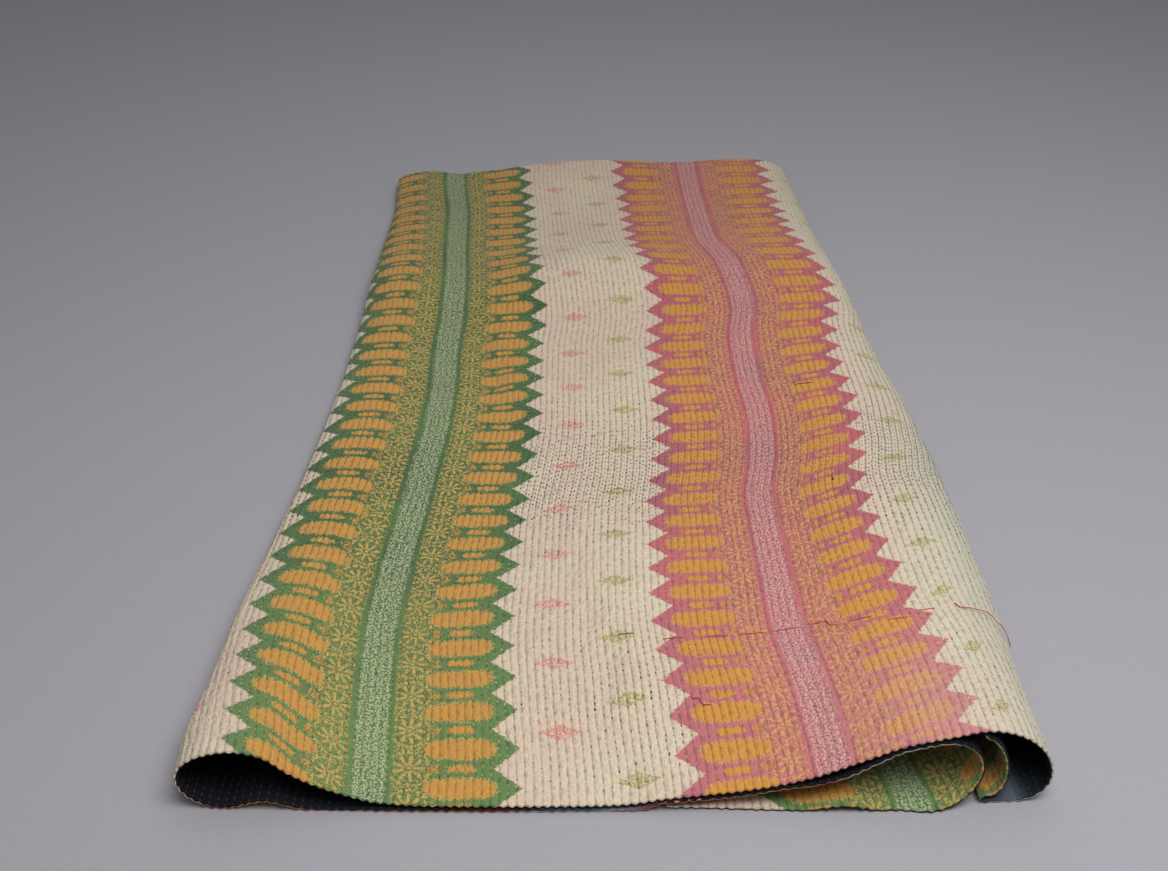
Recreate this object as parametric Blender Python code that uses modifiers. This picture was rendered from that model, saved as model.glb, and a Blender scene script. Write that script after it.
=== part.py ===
"""Kantha quilt: one stitched cotton sheet, folded lengthwise and laid on a flat surface.

Metres, +Z up. The origin is on the surface, under the middle of the quilt. The folds run
along Y, and the end with the open, curling hems is at -Y. Tables and heights of the fold
are in millimetres.
"""
import math

import bmesh
import bpy
from mathutils import Vector

MM = 0.001

# Sizes of the sheet and of the folded quilt
CLOTH = 3.5                # face cloth, back cloth and stitches together
GAP = 0.7                  # air between layers that lie on each other
LENGTH = 1260.0            # along the folds
HALF_WIDTH = 347.0         # near hem: from the middle to the mid-line of a side loop
FLOOR = CLOTH / 2          # mid-line height of cloth that lies on the surface
LAYER = CLOTH + GAP        # rise from one resting layer to the next

# Top layer at the near hem. It sags in the middle and climbs over a loop at each side.
# across, height of the mid-line
TOP_RUN = (
    (289, 73.0),
    (263, 68.0),
    (229, 61.0),
    (196, 48.0),
    (151, 30.5),
    (104, 20.5),
    (62, 15.5),
    (38, 12.8),
    (14, 8.4),
    (-16, 6.6),
    (-85, 6.2),
    (-150, 6.7),
    (-190, 10.0),
    (-219, 19.0),
    (-250, 33.0),
    (-268, 47.0),
    (-281, 54.8),
    (-298, 58.0),
)

# How the fold changes from the near hem to the far one: the strip narrows, so that the free
# edge of the lowest layer lies further in, and the loops sink.
# along, left edge, right edge, free edge, left crest, right crest
STATIONS = (
    (0, -351, 346, 41, 58, 73),
    (50, -354, 346, 36, 52, 70),
    (110, -349, 347, 26, 46, 65),
    (220, -343, 352, -2, 37, 58),
    (330, -330, 352, -38, 32, 52),
    (440, -319, 350, -72, 29, 47),
    (560, -309, 344, -106, 27, 44),
    (680, -302, 332, -136, 26, 42),
    (790, -298, 326, -163, 31, 46),
    (890, -296, 317, -182, 40, 54),
    (960, -294, 311, -190, 36, 50),
    (1050, -292, 305, -198, 28, 42),
    (1150, -290, 301, -203, 22, 37),
    (1260, -296, 296, -205, 22, 39),
)

# Height that the middle of the top layer gains: a low swell, then a ridge across the strip,
# steeper on its near side.
# along, height
RIDGE = (
    (0, 0),
    (50, 5),
    (110, 12),
    (220, 12),
    (330, 6),
    (440, 1),
    (680, 0),
    (740, 3),
    (790, 11),
    (850, 29),
    (890, 34),
    (930, 28),
    (1000, 14),
    (1090, 7),
    (1140, 6),
    (1260, 18),
)

# Cross lines of the mesh, closest over the ridge.
# start, end, intervals
SPANS = (
    (0, 740, 12),
    (740, 1020, 7),
    (1020, 1260, 5),
)

# Loops and curls, as quarter ellipses: middle and half width above and below the waist,
# and the height of the waist as a share of the crest
LEFT_LOOP = {"upper": (-298, 49), "lower": (-310, 37), "waist": 0.50}
RIGHT_LOOP = {"upper": (289, 58), "lower": (320, 27), "waist": 0.34}
INNER_CURL = {"upper": (262, 29), "lower": (248, 43), "waist": 0.56}
OUTER_CURL = {"upper": (283, 28), "lower": (298, 13), "waist": 0.38, "open": 77}
TURN = {"across": 295, "radius": 2.9}      # tight turn under the outer curl

# Soft lifts of the lower layers off the surface near the near hem
LIFT_LEFT = {"across": -279, "half": 34, "height": 7.5}
LIFT_RIGHT = {"across": 182, "half": 34, "height": 4.8}
LIFT_REACH = 420           # how far along they fade out

# The second layer climbs over the free edge of the lowest one
STEP_LENGTH = 20
STEP_CLEARANCE = 5

# Hems: how they bow back towards the sides, lean back with height, and slip out below
NEAR_BOW = 8
FAR_BOW = 26
LEAN = 0.10
SLIP = 8.0

SPREAD = 312               # reach of the ridge to each side
UNEVEN = 1.4               # slow waves of the top layer
TOP_STEPS = 28


def smoothValue(rows, at, column):
    """Value of a column at a place along the first column, on a smooth curve."""
    rows = sorted(rows)
    at = min(max(at, rows[0][0]), rows[-1][0])
    last = len(rows) - 1
    i = 0
    while i < last - 1 and at > rows[i + 1][0]:
        i += 1
    here = rows[i]
    there = rows[i + 1]
    span = there[0] - here[0]
    slopes = []
    for k in (i, i + 1):
        if k in (0, last):
            slopes.append(0.0)
            continue
        before = (rows[k][column] - rows[k - 1][column]) / (rows[k][0] - rows[k - 1][0])
        after = (rows[k + 1][column] - rows[k][column]) / (rows[k + 1][0] - rows[k][0])
        slopes.append(0.0 if before * after <= 0 else 2 * before * after / (before + after))
    t = (at - here[0]) / span
    rise = there[column] - here[column]
    return (here[column] + slopes[0] * span * (t - 2 * t * t + t ** 3)
            + slopes[1] * span * (t ** 3 - t * t) + rise * (3 * t * t - 2 * t ** 3))


def ease(start, end, at):
    t = min(max((at - start) / (end - start), 0.0), 1.0)
    return t * t * (3 - 2 * t)


def bell(at, middle, half):
    t = min(abs(at - middle) / half, 1.0)
    return math.cos(t * math.pi / 2) ** 2


def lifted(lift, across, along):
    """Height of a lower layer where a soft lift raises it off the surface."""
    fade = 1 - ease(0, LIFT_REACH, along)
    return FLOOR + lift["height"] * bell(across, lift["across"], lift["half"]) * fade


def stepEnds(freeEdge):
    end = freeEdge - STEP_CLEARANCE
    return end - STEP_LENGTH, end


def restHeight(across, freeEdge):
    """Mid-line height of the top layer where everything under it is pressed flat."""
    start, end = stepEnds(freeEdge)
    return FLOOR + LAYER * (1 + ease(start, end, across))


def topHeight(across, crests, freeEdge):
    """Top layer without the ridge, scaled to the side crests of this station."""
    left = across < 0
    frontCrest = TOP_RUN[-1][1] if left else TOP_RUN[0][1]
    frontRest = restHeight(across, STATIONS[0][3])
    crest = crests[0] if left else crests[1]
    rest = restHeight(across, freeEdge)
    scale = (crest - rest) / (frontCrest - frontRest)
    return rest + (smoothValue(TOP_RUN, across, 1) - frontRest) * scale


def ridgeHeight(across, along):
    """What the ridge and the slow waves add in the middle of the top layer."""
    ridge = smoothValue(RIDGE, along, 1)
    wave = 2 + math.sin(along / 82 + across / 125) + math.sin(along / 50 - across / 95 + 1.3)
    return bell(across, 0, SPREAD) * (ridge + UNEVEN * wave * ease(0, 160, along) / 2)


def quarterEllipse(middle, half, end, waist, steps, intoWaist):
    """Quarter ellipse between its end level and its waist, without the first point."""
    points = []
    for k in range(1, steps + 1):
        turn = math.pi / 2 * (1 - k / steps if intoWaist else k / steps)
        points.append((middle + half * math.cos(turn), waist + (end - waist) * math.sin(turn)))
    return points


def outerCurl(crests, freeEdge):
    """From the free edge under the top layer down to the tight turn on the surface."""
    waist = OUTER_CURL["waist"] * crests[1]
    middle, half = OUTER_CURL["upper"]
    openAngle = math.radians(OUTER_CURL["open"])
    edgeAcross = middle + half * math.cos(openAngle)
    edgeHeight = topHeight(edgeAcross, crests, freeEdge) - LAYER - 1.2
    rise = (edgeHeight - waist) / math.sin(openAngle)
    points = []
    for k in range(5):
        turn = openAngle * (1 - k / 4)
        points.append((middle + half * math.cos(turn), waist + rise * math.sin(turn)))
    middle, half = OUTER_CURL["lower"]
    points += quarterEllipse(middle, half, FLOOR + 2 * TURN["radius"], waist, 3, False)
    for k in range(5):
        turn = math.pi / 2 + math.pi * k / 4
        points.append((TURN["across"] + TURN["radius"] * math.cos(turn),
                       FLOOR + TURN["radius"] * (1 + math.sin(turn))))
    return points


def rightLoop(crests, freeEdge):
    """Along the surface, then up and round to the right crest."""
    waist = RIGHT_LOOP["waist"] * crests[1]
    middle, half = RIGHT_LOOP["lower"]
    points = [((TURN["across"] + middle) / 2, FLOOR), (middle, FLOOR)]
    points += quarterEllipse(middle, half, FLOOR, waist, 4, True)
    middle, half = RIGHT_LOOP["upper"]
    crest = topHeight(middle, crests, freeEdge)
    points += quarterEllipse(middle, half, crest, waist, 4, False)
    return points


def topLayer(along, crests, freeEdge):
    """From the right crest to the left one."""
    start = RIGHT_LOOP["upper"][0]
    end = LEFT_LOOP["upper"][0]
    points = []
    for k in range(1, TOP_STEPS + 1):
        across = start + (end - start) * k / TOP_STEPS
        height = topHeight(across, crests, freeEdge) + ridgeHeight(across, along)
        points.append((across, height))
    return points


def leftLoop(crests, freeEdge):
    """From the left crest down, and under."""
    waist = LEFT_LOOP["waist"] * crests[0]
    middle, half = LEFT_LOOP["upper"]
    crest = topHeight(middle, crests, freeEdge)
    points = quarterEllipse(middle, -half, crest, waist, 4, True)
    middle, half = LEFT_LOOP["lower"]
    points += quarterEllipse(middle, -half, FLOOR, waist, 4, False)
    return points


def secondLayer(along, crests, freeEdge):
    """On the surface, over the lowest layer, then up under the top one."""
    start, end = stepEnds(freeEdge)
    places = [-300, -289, -279, -269, -258, -244]
    flat = places[-1]
    places += [flat + (start - flat) * k / 4 for k in range(1, 5)]
    points = [(across, lifted(LIFT_LEFT, across, along)) for across in places]
    points.append(((start + end) / 2, FLOOR + LAYER / 2))
    for across in (end, (end + 72) / 2, 72, 104, 134, 160, 182, 204, 226, 246):
        spacing = LAYER + 0.6 * ease(end, 90, across) + 6.0 * bell(across, 180, 48)
        height = topHeight(across, crests, freeEdge) - spacing
        points.append((across, max(height, FLOOR + LAYER)))
    return points


def innerCurl(crests, freeEdge):
    """Over its crest, down the outer side and back to the surface."""
    middle, half = INNER_CURL["upper"]
    crest = topHeight(middle, crests, freeEdge) - LAYER - 1.4
    waist = INNER_CURL["waist"] * crest
    points = [(middle, crest)]
    points += quarterEllipse(middle, half, crest, waist, 4, True)
    middle, half = INNER_CURL["lower"]
    points += quarterEllipse(middle, half, FLOOR, waist, 5, False)
    return points


def lowestLayer(along, freeEdge):
    """Back along the surface to the free edge."""
    places = [226, 208, 195, 182, 169, 152]
    last = places[-1]
    places += [last + (freeEdge - last) * k / 3 for k in range(1, 4)]
    return [(across, lifted(LIFT_RIGHT, across, along)) for across in places]


def section(along):
    """Mid-line of the folded sheet at one station: place, height, slip, table place."""
    leftEdge, rightEdge, freeEdge, leftCrest, rightCrest = (
        smoothValue(STATIONS, along, column) for column in range(1, 6))
    crests = (leftCrest, rightCrest)
    upper = outerCurl(crests, freeEdge)
    upper += rightLoop(crests, freeEdge)
    upper += topLayer(along, crests, freeEdge)
    upper += leftLoop(crests, freeEdge)
    upper += secondLayer(along, crests, freeEdge)
    curl = innerCurl(crests, freeEdge)
    lowest = lowestLayer(along, freeEdge)
    slips = [0.0] * len(upper)
    slips += [SLIP * ease(4, len(curl) - 1, k) for k in range(len(curl))]
    slips += [SLIP * ease(30, 210, across) - 3 for across, height in lowest]
    placed = []
    for (across, height), slip in zip(upper + curl + lowest, slips):
        share = (across / HALF_WIDTH + 1) / 2
        left = leftEdge + CLOTH / 2
        right = rightEdge - CLOTH / 2
        placed.append((left + (right - left) * share, max(height, FLOOR), slip, across))
    return placed


def hemShift(across, height, slip, share):
    """How far a point lies behind its straight cross line, at this share of the length."""
    bow = (across / HALF_WIDTH) ** 2
    near = NEAR_BOW * bow + LEAN * (height - FLOOR) - slip
    far = -FAR_BOW * bow - slip
    return near + (far - near) * share


def stationPlaces():
    places = [SPANS[0][0]]
    for start, end, count in SPANS:
        for k in range(1, count + 1):
            places.append(start + (end - start) * k / count)
    return places


def boxMiddle(verts):
    """Middle of the sheet in plan, where the origin goes."""
    across = [vert.co.x for vert in verts]
    along = [vert.co.y for vert in verts]
    return Vector(((min(across) + max(across)) / 2, (min(along) + max(along)) / 2, 0.0))


def buildQuilt(collection):
    places = stationPlaces()
    lines = [section(along) for along in places]
    columns = len(lines[0])
    mesh = bpy.data.meshes.new("quilt")
    sheet = bmesh.new()
    bmesh.ops.create_grid(sheet, x_segments=columns - 1, y_segments=len(places) - 1, size=0.5)
    for vert in sheet.verts:
        column = round((vert.co.x + 0.5) * (columns - 1))
        row = round((vert.co.y + 0.5) * (len(places) - 1))
        place, height, slip, across = lines[row][column]
        along = places[row]
        shift = hemShift(across, height, slip, along / LENGTH)
        vert.co = Vector((place, along + shift, height)) * MM
    middle = boxMiddle(sheet.verts)
    bmesh.ops.translate(sheet, verts=sheet.verts, vec=-middle)
    bmesh.ops.recalc_face_normals(sheet, faces=sheet.faces)
    sheet.to_mesh(mesh)
    sheet.free()
    mesh.shade_smooth()
    mesh.set_sharp_from_angle(angle=math.radians(50))

    quilt = bpy.data.objects.new("quilt", mesh)
    collection.objects.link(quilt)
    thickness = quilt.modifiers.new("cloth", "SOLIDIFY")
    thickness.thickness = CLOTH * MM
    thickness.offset = 0.0
    thickness.use_even_offset = True
    return quilt


def clothMaterial():
    material = bpy.data.materials.new("printedCotton")
    material.use_nodes = True
    shader = material.node_tree.nodes["Principled BSDF"]
    shader.inputs["Base Color"].default_value = (0.50, 0.36, 0.22, 1.0)
    shader.inputs["Roughness"].default_value = 0.92
    shader.inputs["Metallic"].default_value = 0.0
    return material


def main():
    for old in list(bpy.data.objects):
        bpy.data.objects.remove(old, do_unlink=True)
    collection = bpy.data.collections.new("kanthaQuilt")
    bpy.context.scene.collection.children.link(collection)
    quilt = buildQuilt(collection)
    quilt.data.materials.append(clothMaterial())


main()
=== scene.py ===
import math
from functools import partial
import bmesh
import bpy
import numpy as np
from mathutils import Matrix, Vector


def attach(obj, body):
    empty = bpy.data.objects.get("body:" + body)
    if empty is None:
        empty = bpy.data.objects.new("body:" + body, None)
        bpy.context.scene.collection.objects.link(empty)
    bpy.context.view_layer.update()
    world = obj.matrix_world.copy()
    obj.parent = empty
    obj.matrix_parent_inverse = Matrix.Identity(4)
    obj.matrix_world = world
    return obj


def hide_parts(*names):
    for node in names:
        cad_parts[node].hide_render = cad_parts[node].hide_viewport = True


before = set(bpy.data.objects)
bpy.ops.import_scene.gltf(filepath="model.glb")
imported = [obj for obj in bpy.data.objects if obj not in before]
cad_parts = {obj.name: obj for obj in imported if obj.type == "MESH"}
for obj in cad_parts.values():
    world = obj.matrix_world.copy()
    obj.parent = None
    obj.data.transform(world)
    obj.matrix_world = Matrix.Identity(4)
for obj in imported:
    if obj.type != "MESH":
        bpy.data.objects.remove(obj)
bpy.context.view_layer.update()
random = np.random.default_rng(7)


# The folded sheet. Lengths in this part of the script are millimetres, as a quilt is measured.
sheet = {
    "cloth": 3.5,            # face cloth, back cloth and stitches together
    "layer": 4.2,            # rise from one resting layer to the next
    "length": 1260.0,        # along the folds
    "halfWidth": 347.0,      # near hem: middle to the mid-line of a side loop
    "rows": 130,             # cross lines of the fine mesh
    "fineStep": 1.75,        # between lengthwise lines where the cloth shows, four to a stitch row
    "coarseStep": 4.0,       # between lengthwise lines inside the fold
}
floorLine = sheet["cloth"] / 2

# Top layer at the near hem: across, height of the mid-line
topRun = (
    (289, 73.0),
    (263, 68.0),
    (229, 61.0),
    (196, 48.0),
    (151, 30.5),
    (104, 20.5),
    (62, 15.5),
    (38, 12.8),
    (14, 8.4),
    (-16, 6.6),
    (-85, 6.2),
    (-150, 6.7),
    (-190, 10.0),
    (-219, 19.0),
    (-250, 33.0),
    (-268, 47.0),
    (-281, 54.8),
    (-298, 58.0),
)

# along, left edge, right edge, free edge, left crest, right crest
stations = (
    (0, -351, 346, 41, 58, 73),
    (50, -354, 346, 36, 52, 70),
    (110, -349, 347, 26, 46, 65),
    (220, -343, 352, -2, 37, 58),
    (330, -330, 352, -38, 32, 52),
    (440, -319, 350, -72, 29, 47),
    (560, -309, 344, -106, 27, 44),
    (680, -302, 332, -136, 26, 42),
    (790, -298, 326, -163, 31, 46),
    (890, -296, 317, -182, 40, 54),
    (960, -294, 311, -190, 36, 50),
    (1050, -292, 305, -198, 28, 42),
    (1150, -290, 301, -203, 22, 37),
    (1260, -296, 296, -205, 22, 39),
)

# Height that the middle of the top layer gains: along, height
ridge = (
    (0, 0),
    (50, 5),
    (110, 12),
    (220, 12),
    (330, 6),
    (440, 1),
    (680, 0),
    (740, 3),
    (790, 11),
    (850, 29),
    (890, 34),
    (930, 28),
    (1000, 14),
    (1090, 7),
    (1140, 6),
    (1260, 18),
)

# Loops and curls as quarter ellipses: middle and half width above and below the waist
leftLoop = {"upper": (-298, 49), "lower": (-310, 37), "waist": 0.50}
rightLoop = {"upper": (289, 58), "lower": (320, 27), "waist": 0.34}
innerCurl = {"upper": (262, 29), "lower": (248, 43), "waist": 0.56}
outerCurl = {"upper": (283, 28), "lower": (298, 13), "waist": 0.38, "open": 77}
turn = {"across": 295, "radius": 2.9}
liftLeft = {"across": -279, "half": 34, "height": 7.5}
liftRight = {"across": 182, "half": 34, "height": 4.8}
liftReach = 420
stepLength = 20
stepClearance = 5
hem = {"nearBow": 8, "farBow": 26, "lean": 0.10, "slip": 8.0}
ridgeSpread = 312
topWaves = 1.4
topSteps = 28


def smoothValue(rows, at, column):
    rows = sorted(rows)
    at = min(max(at, rows[0][0]), rows[-1][0])
    last = len(rows) - 1
    i = 0
    while i < last - 1 and at > rows[i + 1][0]:
        i += 1
    here = rows[i]
    there = rows[i + 1]
    span = there[0] - here[0]
    slopes = []
    for k in (i, i + 1):
        if k in (0, last):
            slopes.append(0.0)
            continue
        before = (rows[k][column] - rows[k - 1][column]) / (rows[k][0] - rows[k - 1][0])
        after = (rows[k + 1][column] - rows[k][column]) / (rows[k + 1][0] - rows[k][0])
        slopes.append(0.0 if before * after <= 0 else 2 * before * after / (before + after))
    t = (at - here[0]) / span
    rise = there[column] - here[column]
    return (here[column] + slopes[0] * span * (t - 2 * t * t + t ** 3)
            + slopes[1] * span * (t ** 3 - t * t) + rise * (3 * t * t - 2 * t ** 3))


def ease(start, end, at):
    t = np.clip((at - start) / (end - start), 0.0, 1.0)
    return t * t * (3 - 2 * t)


def bell(at, middle, half):
    return np.cos(np.minimum(abs(at - middle) / half, 1.0) * math.pi / 2) ** 2


def lifted(lift, across, along):
    fade = 1 - ease(0, liftReach, along)
    return floorLine + lift["height"] * bell(across, lift["across"], lift["half"]) * fade


def stepEnds(freeEdge):
    end = freeEdge - stepClearance
    return end - stepLength, end


def restHeight(across, freeEdge):
    start, end = stepEnds(freeEdge)
    return floorLine + sheet["layer"] * (1 + ease(start, end, across))


def topHeight(across, crests, freeEdge):
    left = across < 0
    frontCrest = topRun[-1][1] if left else topRun[0][1]
    frontRest = restHeight(across, stations[0][3])
    crest = crests[0] if left else crests[1]
    rest = restHeight(across, freeEdge)
    scale = (crest - rest) / (frontCrest - frontRest)
    return rest + (smoothValue(topRun, across, 1) - frontRest) * scale


def ridgeHeight(across, along):
    wave = 2 + math.sin(along / 82 + across / 125) + math.sin(along / 50 - across / 95 + 1.3)
    return bell(across, 0, ridgeSpread) * (smoothValue(ridge, along, 1)
                                          + topWaves * wave * ease(0, 160, along) / 2)


def quarterEllipse(middle, half, end, waist, steps, intoWaist):
    points = []
    for k in range(1, steps + 1):
        angle = math.pi / 2 * (1 - k / steps if intoWaist else k / steps)
        points.append((middle + half * math.cos(angle), waist + (end - waist) * math.sin(angle)))
    return points


def outerCurlLine(crests, freeEdge):
    waist = outerCurl["waist"] * crests[1]
    middle, half = outerCurl["upper"]
    openAngle = math.radians(outerCurl["open"])
    edgeAcross = middle + half * math.cos(openAngle)
    edgeHeight = topHeight(edgeAcross, crests, freeEdge) - sheet["layer"] - 1.2
    rise = (edgeHeight - waist) / math.sin(openAngle)
    points = []
    for k in range(5):
        angle = openAngle * (1 - k / 4)
        points.append((middle + half * math.cos(angle), waist + rise * math.sin(angle)))
    middle, half = outerCurl["lower"]
    points += quarterEllipse(middle, half, floorLine + 2 * turn["radius"], waist, 3, False)
    for k in range(5):
        angle = math.pi / 2 + math.pi * k / 4
        points.append((turn["across"] + turn["radius"] * math.cos(angle),
                       floorLine + turn["radius"] * (1 + math.sin(angle))))
    return points


def rightLoopLine(crests, freeEdge):
    waist = rightLoop["waist"] * crests[1]
    middle, half = rightLoop["lower"]
    points = [((turn["across"] + middle) / 2, floorLine), (middle, floorLine)]
    points += quarterEllipse(middle, half, floorLine, waist, 4, True)
    middle, half = rightLoop["upper"]
    crest = topHeight(middle, crests, freeEdge)
    points += quarterEllipse(middle, half, crest, waist, 4, False)
    return points


def topLayerLine(along, crests, freeEdge):
    start = rightLoop["upper"][0]
    end = leftLoop["upper"][0]
    points = []
    for k in range(1, topSteps + 1):
        across = start + (end - start) * k / topSteps
        height = topHeight(across, crests, freeEdge) + ridgeHeight(across, along)
        points.append((across, height))
    return points


def leftLoopLine(crests, freeEdge):
    waist = leftLoop["waist"] * crests[0]
    middle, half = leftLoop["upper"]
    crest = topHeight(middle, crests, freeEdge)
    points = quarterEllipse(middle, -half, crest, waist, 4, True)
    middle, half = leftLoop["lower"]
    points += quarterEllipse(middle, -half, floorLine, waist, 4, False)
    return points


def secondLayerLine(along, crests, freeEdge):
    start, end = stepEnds(freeEdge)
    places = [-300, -289, -279, -269, -258, -244]
    flat = places[-1]
    places += [flat + (start - flat) * k / 4 for k in range(1, 5)]
    points = [(across, lifted(liftLeft, across, along)) for across in places]
    points.append(((start + end) / 2, floorLine + sheet["layer"] / 2))
    for across in (end, end + 6, end + 16, end + 34, (end + 72) / 2 - 15, (end + 72) / 2, 72, 104, 134,
                   160, 182, 204, 226, 246):
        spacing = sheet["layer"] + 0.6 * ease(end, 90, across) + 6.0 * bell(across, 180, 48)
        height = topHeight(across, crests, freeEdge) - spacing
        points.append((across, max(height, floorLine + sheet["layer"])))
    return points


def innerCurlLine(crests, freeEdge):
    middle, half = innerCurl["upper"]
    crest = topHeight(middle, crests, freeEdge) - sheet["layer"] - 1.4
    waist = innerCurl["waist"] * crest
    points = [(middle, crest)]
    points += quarterEllipse(middle, half, crest, waist, 4, True)
    middle, half = innerCurl["lower"]
    points += quarterEllipse(middle, half, floorLine, waist, 5, False)
    return points


def lowestLayerLine(along, freeEdge):
    places = [226, 208, 195, 182, 169, 152]
    last = places[-1]
    places += [last + (freeEdge - last) * k / 3 for k in range(1, 4)]
    return [(across, lifted(liftRight, across, along)) for across in places]


# Mid-line of the folded sheet at one station: place across, place along, height.
# Also gives the points where the top layer's own stretches begin and end.
def foldLine(along):
    leftEdge, rightEdge, freeEdge, leftCrest, rightCrest = (
        smoothValue(stations, along, column) for column in range(1, 6))
    crests = (leftCrest, rightCrest)
    upper = outerCurlLine(crests, freeEdge)
    upper += rightLoopLine(crests, freeEdge)
    topStart = len(upper) - 1
    upper += topLayerLine(along, crests, freeEdge)
    topEnd = len(upper) - 1
    upper += leftLoopLine(crests, freeEdge)
    upper += secondLayerLine(along, crests, freeEdge)
    curl = innerCurlLine(crests, freeEdge)
    lowest = lowestLayerLine(along, freeEdge)
    slips = [0.0] * len(upper)
    slips += [hem["slip"] * ease(4, len(curl) - 1, k) for k in range(len(curl))]
    slips += [hem["slip"] * ease(30, 210, across) - 3 for across, height in lowest]
    half = sheet["cloth"] / 2
    placed = []
    for (across, height), slip in zip(upper + curl + lowest, slips):
        share = (across / sheet["halfWidth"] + 1) / 2
        place = leftEdge + half + (rightEdge - leftEdge - 2 * half) * share
        bow = (across / sheet["halfWidth"]) ** 2
        near = hem["nearBow"] * bow + hem["lean"] * (height - floorLine) - slip
        far = -hem["farBow"] * bow - slip
        shift = near + (far - near) * along / sheet["length"]
        placed.append((place, along + shift, max(height, floorLine)))
    return np.array(placed), topStart, topEnd


# Where the two printed stripes of the top layer lie: along, green, rose
stripePath = (
    (0, -200, 170),
    (110, -206, 164),
    (200, -209, 156),
    (300, -204, 156),
    (380, -198, 156),
    (470, -192, 169),
    (550, -186, 174),
    (640, -184, 171),
    (720, -186, 172),
    (790, -184, 181),
    (880, -185, 171),
    (990, -191, 150),
    (1110, -196, 146),
    (1260, -209, 142),
)

# Printed bands along the sheet's width, from the hem inside the right loop to the hidden hem.
# place is the centre of a band, in millimetres of cloth from the first hem.
printing = {
    "hemBand": -12.0,        # the first band is cut off just past its middle
    "rightSide": 215.0,      # cloth from the rose stripe that keeps its true scale, towards the first hem
    "leftSide": 270.0,       # the same from the green stripe, towards the hidden hem
    "lastBand": 236.0,       # place across of the band inside the inner curl, at the near hem
}


def alongCurve(points, lengths, wanted):
    # smooth curve through the fold line's points, read at lengths along it
    gaps = np.diff(lengths)
    slopes = np.diff(points, axis=0) / gaps[:, None]
    tangents = np.empty_like(points)
    tangents[0] = slopes[0]
    tangents[-1] = slopes[-1]
    weight = (gaps[1:] / (gaps[:-1] + gaps[1:]))[:, None]
    tangents[1:-1] = slopes[:-1] * weight + slopes[1:] * (1 - weight)
    i = np.clip(np.searchsorted(lengths, wanted, side="right") - 1, 0, len(gaps) - 1)
    gap = gaps[i][:, None]
    t = ((wanted - lengths[i]) / gaps[i])[:, None]
    start = points[i]
    rise = points[i + 1] - start
    return (start + rise * (3 * t ** 2 - 2 * t ** 3) + tangents[i] * gap * (t - 2 * t ** 2 + t ** 3)
            + tangents[i + 1] * gap * (t ** 3 - t ** 2))


# Lengths along the fold line at which the two printed stripes lie, rose first
def stripeSpots(along, points, lengths, topStart, topEnd):
    top = slice(topStart, topEnd + 1)
    across = points[top, 0][::-1]
    return [np.interp(smoothValue(stripePath, along, column), across, lengths[top][::-1])
            for column in (2, 1)]


def buildGrid():
    share = np.linspace(0, 1, sheet["rows"] + 1)
    alongs = sheet["length"] * (0.72 * share + 0.28 * share ** 2)
    lines = []
    for along in alongs:
        points, topStart, topEnd = foldLine(along)
        pieces = np.linalg.norm(np.diff(points[:, (0, 2)], axis=0), axis=1)
        lengths = np.concatenate([[0.0], np.cumsum(pieces)])
        rose, green = stripeSpots(along, points, lengths, topStart, topEnd)
        lines.append((points, lengths, rose, green))
    points, lengths, rose, green = lines[0]
    wide = lengths[-1]
    lastBand = np.interp(-printing["lastBand"], -points[-10:, 0], lengths[-10:])
    hidden = (lastBand - green) / 3
    bands = [(printing["hemBand"], 0), (rose, 1), (green, 0), (green + hidden, 1),
             (green + 2 * hidden, 1), (lastBand, 0)]
    right = rose - printing["rightSide"]
    left = green + printing["leftSide"]
    places = [np.linspace(0, right, round(right / sheet["coarseStep"]) + 1)[:-1]]
    places.append(np.arange(right, left, sheet["fineStep"]))
    places.append(np.linspace(left, wide, round((wide - left) / sheet["coarseStep"]) + 1))
    places = np.concatenate(places)
    grid = np.empty((len(alongs), len(places), 3))
    prints = np.empty((len(alongs), len(places)))
    inside = np.minimum(ease(0, 60, places), 1 - ease(wide - 60, wide, places))
    for k, along in enumerate(alongs):
        points, lengths, roseHere, greenHere = lines[k]
        wander = 1.3 * np.sin(along / 97 + places / 61) + 0.9 * np.sin(along / 41 - places / 37 + 2)
        wander = wander * inside * ease(0, 120, along)
        moved = places + wander
        knots = (0, right, rose, green, left, wide)
        spots = (0, roseHere - printing["rightSide"], roseHere, greenHere,
                 greenHere + printing["leftSide"], lengths[-1])
        grid[k] = alongCurve(points, lengths, np.interp(moved, knots, spots))
        prints[k] = moved
    return alongs, places, grid, prints, bands


# Middle of the sheet in plan, where the model's origin is
def planMiddle(grid):
    low = grid.min(axis=(0, 1))
    high = grid.max(axis=(0, 1))
    return np.array([(low[0] + high[0]) / 2, (low[1] + high[1]) / 2, 0.0])


# Direction out of the printed face, and back from the near hem, at every point of a grid
def gridFrames(grid):
    alongway = np.gradient(grid, axis=0)
    crossway = np.gradient(grid, axis=1)
    out = np.cross(alongway, crossway)
    out /= np.linalg.norm(out, axis=2, keepdims=True)
    back = alongway / np.linalg.norm(alongway, axis=2, keepdims=True)
    return out, back


stitching = {
    "rowPitch": 7.0,         # between rows of running stitch
    "period": 7.2,           # from one stitch to the next in a row
    "share": 0.52,           # of the period that the stitch covers
    "halfWidth": 0.78,       # of the thread as it lies on the cloth
    "proud": 0.80,           # how high it stands in its row
    "firstPlace": 104.0,     # of the first row that is sewn, from the first hem
    "pastLeft": 40.0,        # how far the rows go on under the left fold
    "busyAlong": 445.0,      # middle and half length of the patch with extra rows between
    "busyHalf": 120.0,
    "channel": 0.75,         # how deep a row pulls the cloth in
}


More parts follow.
